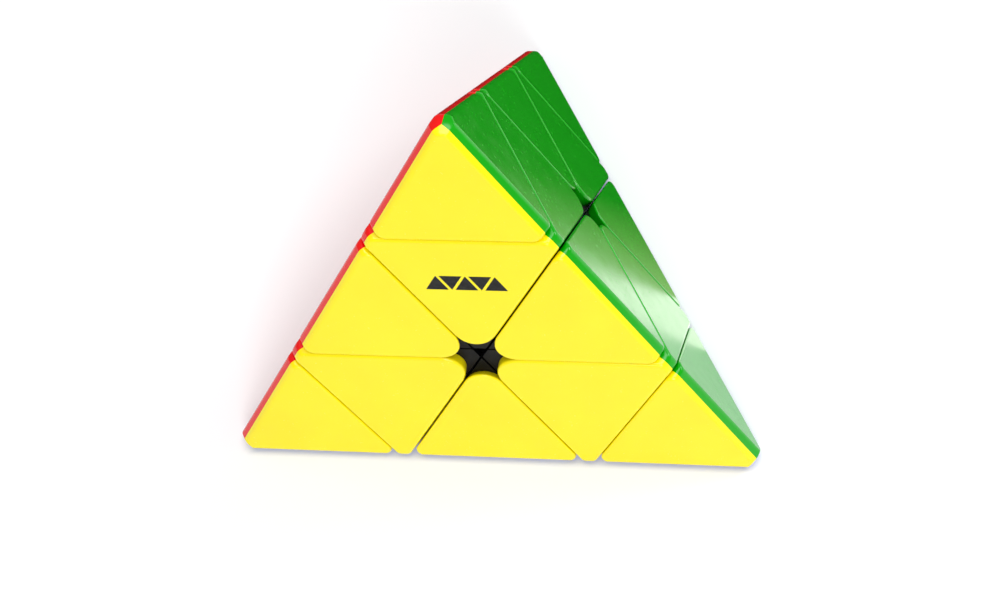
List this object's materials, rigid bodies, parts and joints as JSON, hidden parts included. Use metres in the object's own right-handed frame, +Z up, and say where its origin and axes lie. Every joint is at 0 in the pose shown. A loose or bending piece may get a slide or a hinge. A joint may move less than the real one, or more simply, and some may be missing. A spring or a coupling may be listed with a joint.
{
  "type": "pyramid twisty puzzle",
  "caption": "Pyramid-shaped twisty puzzle with four turning layers, turning tips and coloured plastic caps on a black mechanism.",
  "frame": {"origin": "centre of the core, where the four turning axes meet", "axes": "+Z up through the top corner, with the blue face flat underneath; the yellow face looks towards -Y, green towards +X and the back, red towards -X and the back"},
  "size_m": [0.0898, 0.0783, 0.0736],
  "materials": {
    "yellow_plastic": "smooth, glossy",
    "green_plastic": "smooth, glossy",
    "red_plastic": "smooth, glossy",
    "blue_plastic": "smooth, glossy",
    "black_plastic": "satin, moulded",
    "steel": "plain zinc-plated steel"
  },
  "bodies": {
    "core": {"core": "black_plastic", "layer_screws": "steel", "layer_washers": "steel", "layer_springs": "steel"},
    "axial_top": {"axial_top_base": "black_plastic", "axial_top_cap_green": "green_plastic", "axial_top_cap_red": "red_plastic", "axial_top_cap_yellow": "yellow_plastic"},
    "axial_left": {"axial_left_base": "black_plastic", "axial_left_cap_blue": "blue_plastic", "axial_left_cap_red": "red_plastic", "axial_left_cap_yellow": "yellow_plastic"},
    "axial_right": {"axial_right_base": "black_plastic", "axial_right_cap_blue": "blue_plastic", "axial_right_cap_green": "green_plastic", "axial_right_cap_yellow": "yellow_plastic"},
    "axial_rear": {"axial_rear_base": "black_plastic", "axial_rear_cap_blue": "blue_plastic", "axial_rear_cap_green": "green_plastic", "axial_rear_cap_red": "red_plastic"},
    "tip_top": {"tip_top_base": "black_plastic", "tip_top_cap_green": "green_plastic", "tip_top_cap_red": "red_plastic", "tip_top_cap_yellow": "yellow_plastic"},
    "tip_left": {"tip_left_base": "black_plastic", "tip_left_cap_blue": "blue_plastic", "tip_left_cap_red": "red_plastic", "tip_left_cap_yellow": "yellow_plastic"},
    "tip_right": {"tip_right_base": "black_plastic", "tip_right_cap_blue": "blue_plastic", "tip_right_cap_green": "green_plastic", "tip_right_cap_yellow": "yellow_plastic"},
    "tip_rear": {"tip_rear_base": "black_plastic", "tip_rear_cap_blue": "blue_plastic", "tip_rear_cap_green": "green_plastic", "tip_rear_cap_red": "red_plastic"},
    "edge_top_left": {"edge_top_left_base": "black_plastic", "edge_top_left_cap_red": "red_plastic", "edge_top_left_cap_yellow": "yellow_plastic"},
    "edge_top_right": {"edge_top_right_base": "black_plastic", "edge_top_right_cap_green": "green_plastic", "edge_top_right_cap_yellow": "yellow_plastic"},
    "edge_top_rear": {"edge_top_rear_base": "black_plastic", "edge_top_rear_cap_green": "green_plastic", "edge_top_rear_cap_red": "red_plastic"},
    "edge_left_right": {"edge_left_right_base": "black_plastic", "edge_left_right_cap_blue": "blue_plastic", "edge_left_right_cap_yellow": "yellow_plastic"},
    "edge_left_rear": {"edge_left_rear_base": "black_plastic", "edge_left_rear_cap_blue": "blue_plastic", "edge_left_rear_cap_red": "red_plastic"},
    "edge_right_rear": {"edge_right_rear_base": "black_plastic", "edge_right_rear_cap_blue": "blue_plastic", "edge_right_rear_cap_green": "green_plastic"}
  },
  "joints": [
    {"name": "layer_top_turn", "type": "hinge", "parent": "core", "child": "axial_top", "pos_m": [0, 0, 0], "axis": [0, 0, 1], "range_deg": [-240, 120]},
    {"name": "layer_left_turn", "type": "hinge", "parent": "core", "child": "axial_left", "pos_m": [0, 0, 0], "axis": [-0.8165, -0.4714, -0.3333], "range_deg": [-240, 120]},
    {"name": "layer_right_turn", "type": "hinge", "parent": "core", "child": "axial_right", "pos_m": [0, 0, 0], "axis": [0.8165, -0.4714, -0.3333], "range_deg": [-240, 120]},
    {"name": "layer_rear_turn", "type": "hinge", "parent": "core", "child": "axial_rear", "pos_m": [0, 0, 0], "axis": [0, 0.9428, -0.3333], "range_deg": [-240, 120]},
    {"name": "tip_top_turn", "type": "hinge", "parent": "axial_top", "child": "tip_top", "pos_m": [0, 0, 0], "axis": [0, 0, 1], "continuous": true},
    {"name": "tip_left_turn", "type": "hinge", "parent": "axial_left", "child": "tip_left", "pos_m": [0, 0, 0], "axis": [-0.8165, -0.4714, -0.3333], "continuous": true},
    {"name": "tip_right_turn", "type": "hinge", "parent": "axial_right", "child": "tip_right", "pos_m": [0, 0, 0], "axis": [0.8165, -0.4714, -0.3333], "continuous": true},
    {"name": "tip_rear_turn", "type": "hinge", "parent": "axial_rear", "child": "tip_rear", "pos_m": [0, 0, 0], "axis": [0, 0.9428, -0.3333], "continuous": true},
    {"name": "edge_top_left_turn", "type": "hinge", "parent": "axial_top", "child": "edge_top_left", "pos_m": [0, 0, 0], "axis": [-0.8165, -0.4714, -0.3333], "range_deg": [-240, 120]},
    {"name": "edge_top_right_turn", "type": "hinge", "parent": "axial_top", "child": "edge_top_right", "pos_m": [0, 0, 0], "axis": [0.8165, -0.4714, -0.3333], "range_deg": [-240, 120]},
    {"name": "edge_top_rear_turn", "type": "hinge", "parent": "axial_top", "child": "edge_top_rear", "pos_m": [0, 0, 0], "axis": [0, 0.9428, -0.3333], "range_deg": [-240, 120]},
    {"name": "edge_left_right_turn", "type": "hinge", "parent": "axial_left", "child": "edge_left_right", "pos_m": [0, 0, 0], "axis": [0.8165, -0.4714, -0.3333], "range_deg": [-240, 120]},
    {"name": "edge_left_rear_turn", "type": "hinge", "parent": "axial_rear", "child": "edge_left_rear", "pos_m": [0, 0, 0], "axis": [-0.8165, -0.4714, -0.3333], "range_deg": [-240, 120]},
    {"name": "edge_right_rear_turn", "type": "hinge", "parent": "axial_right", "child": "edge_right_rear", "pos_m": [0, 0, 0], "axis": [0, 0.9428, -0.3333], "range_deg": [-240, 120]}
  ],
  "couplings": [
    {"joint": "edge_top_left_turn", "follows": "layer_left_turn", "ratio": 1},
    {"joint": "edge_top_right_turn", "follows": "layer_right_turn", "ratio": 1},
    {"joint": "edge_top_rear_turn", "follows": "layer_rear_turn", "ratio": 1},
    {"joint": "edge_left_right_turn", "follows": "layer_right_turn", "ratio": 1},
    {"joint": "edge_left_rear_turn", "follows": "layer_left_turn", "ratio": 1},
    {"joint": "edge_right_rear_turn", "follows": "layer_rear_turn", "ratio": 1}
  ]
}
